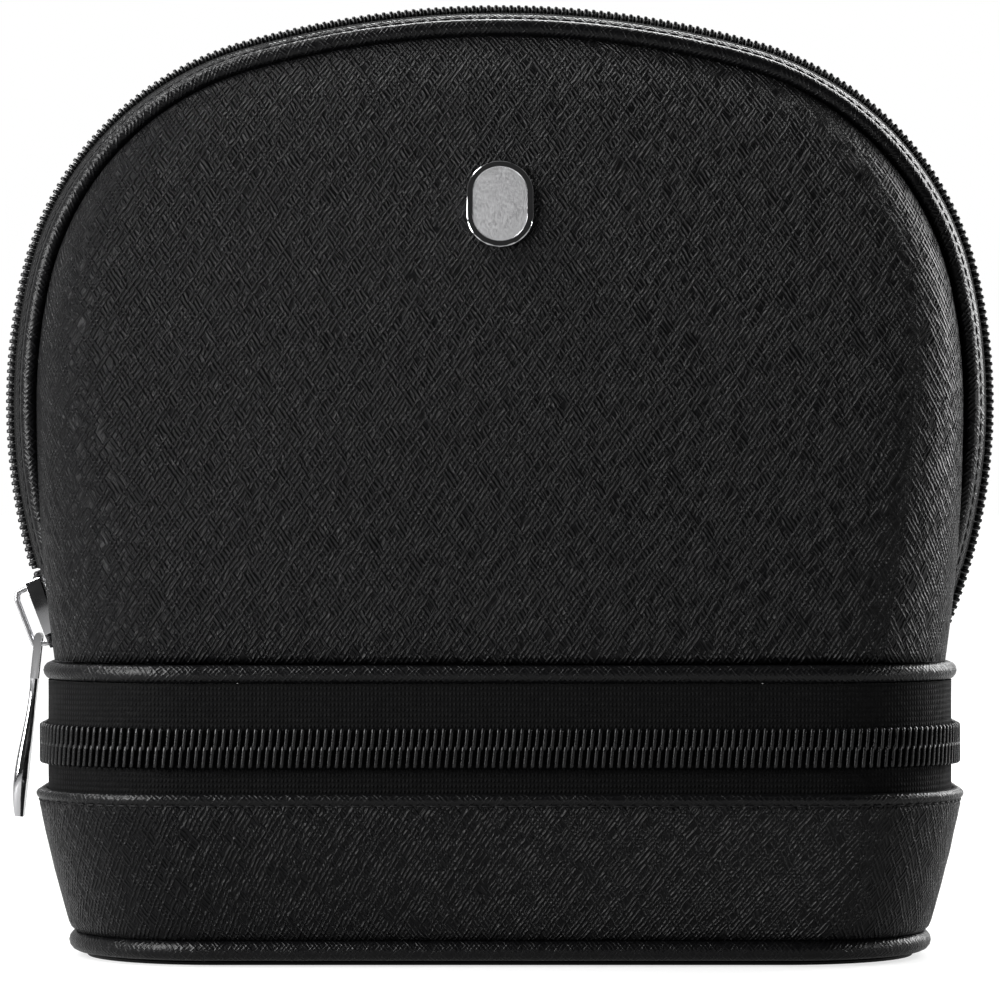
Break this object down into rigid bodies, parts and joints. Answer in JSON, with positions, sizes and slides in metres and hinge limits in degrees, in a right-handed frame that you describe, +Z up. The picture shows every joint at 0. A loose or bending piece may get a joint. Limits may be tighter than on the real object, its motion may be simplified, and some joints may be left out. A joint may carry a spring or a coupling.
{
  "type": "cosmetic bag",
  "caption": "Dome-shaped hard-shell cosmetic bag with an arch zip over a lidded upper compartment and a zipped lower tray.",
  "frame": {"origin": "middle of the footprint, on the surface the bag stands on", "axes": "+X across the bag to the viewer's right, +Y to the back, +Z up; the front shell faces -Y"},
  "size_m": [0.21, 0.098, 0.2006],
  "materials": {
    "black_leather": "satin",
    "stiff_board": "matte",
    "lining_fabric": "matte",
    "zip_tape": "matte",
    "nylon_coil": "satin",
    "bright_zinc": "polished",
    "satin_badge": "brushed"
  },
  "bodies": {
    "lower_case": {"base_panel": "black_leather", "base_board": "stiff_board", "base_piping": "black_leather", "lower_wall": "black_leather", "lower_wall_board": "stiff_board", "lower_lining": "lining_fabric", "lower_tape": "zip_tape", "lower_coil": "nylon_coil", "hinge_strip_lower": "black_leather", "band_tape_feet": "zip_tape", "band_foot_bridges": "black_leather", "band_coil_feet": "nylon_coil", "band_stops": "bright_zinc"},
    "upper_body": {"upper_tape": "zip_tape", "upper_coil": "nylon_coil", "hinge_strip_upper": "black_leather", "seam_piping": "black_leather", "divider_underside": "lining_fabric", "divider_board": "stiff_board", "divider_floor": "lining_fabric", "back_panel": "black_leather", "back_stiffener": "stiff_board", "back_lining": "lining_fabric", "back_piping": "black_leather", "back_facing": "black_leather", "back_tape": "zip_tape", "back_coil": "nylon_coil", "arch_tape_feet": "zip_tape", "arch_coil_feet": "nylon_coil", "arch_end_tabs": "black_leather", "arch_stops": "bright_zinc"},
    "front_flap": {"front_panel": "black_leather", "front_stiffener": "stiff_board", "front_lining": "lining_fabric", "front_piping": "black_leather", "front_facing": "black_leather", "front_tape": "zip_tape", "front_coil": "nylon_coil", "badge_plate": "satin_badge", "badge_backing": "satin_badge"},
    "arch_slider": {"arch_slider": "bright_zinc", "arch_slider_crown": "bright_zinc"},
    "arch_pull": {"arch_pull": "bright_zinc"},
    "band_slider": {"band_slider": "bright_zinc", "band_slider_crown": "bright_zinc"},
    "band_pull": {"band_pull_ring": "bright_zinc", "band_pull_tab": "bright_zinc"}
  },
  "joints": [
    {"name": "lid_hinge", "type": "hinge", "parent": "lower_case", "child": "upper_body", "pos_m": [0, 0.0472, 0.0447], "axis": [-1, 0, 0], "range_deg": [0, 95]},
    {"name": "flap_fold", "type": "hinge", "parent": "upper_body", "child": "front_flap", "pos_m": [0, -0.046, 0.0619], "axis": [1, 0, 0], "range_deg": [0, 80]},
    {"name": "arch_slider_run", "type": "hinge", "parent": "upper_body", "child": "arch_slider", "pos_m": [0.0187, 0, 0.1158], "axis": [0, 1, 0], "range_deg": [0, 29]},
    {"name": "arch_pull_swing", "type": "hinge", "parent": "arch_slider", "child": "arch_pull", "pos_m": [-0.09818, 0, 0.06644], "axis": [0, 1, 0], "range_deg": [0, 110]},
    {"name": "band_slider_run", "type": "hinge", "parent": "lower_case", "child": "band_slider", "pos_m": [0.0647, 0.0154, 0.0447], "axis": [0, 0, -1], "range_deg": [0, 31]},
    {"name": "band_pull_swing", "type": "hinge", "parent": "band_slider", "child": "band_pull", "pos_m": [0.0899, 0.04338, 0.0447], "axis": [0.7431, -0.6691, 0], "range_deg": [0, 70]}
  ]
}
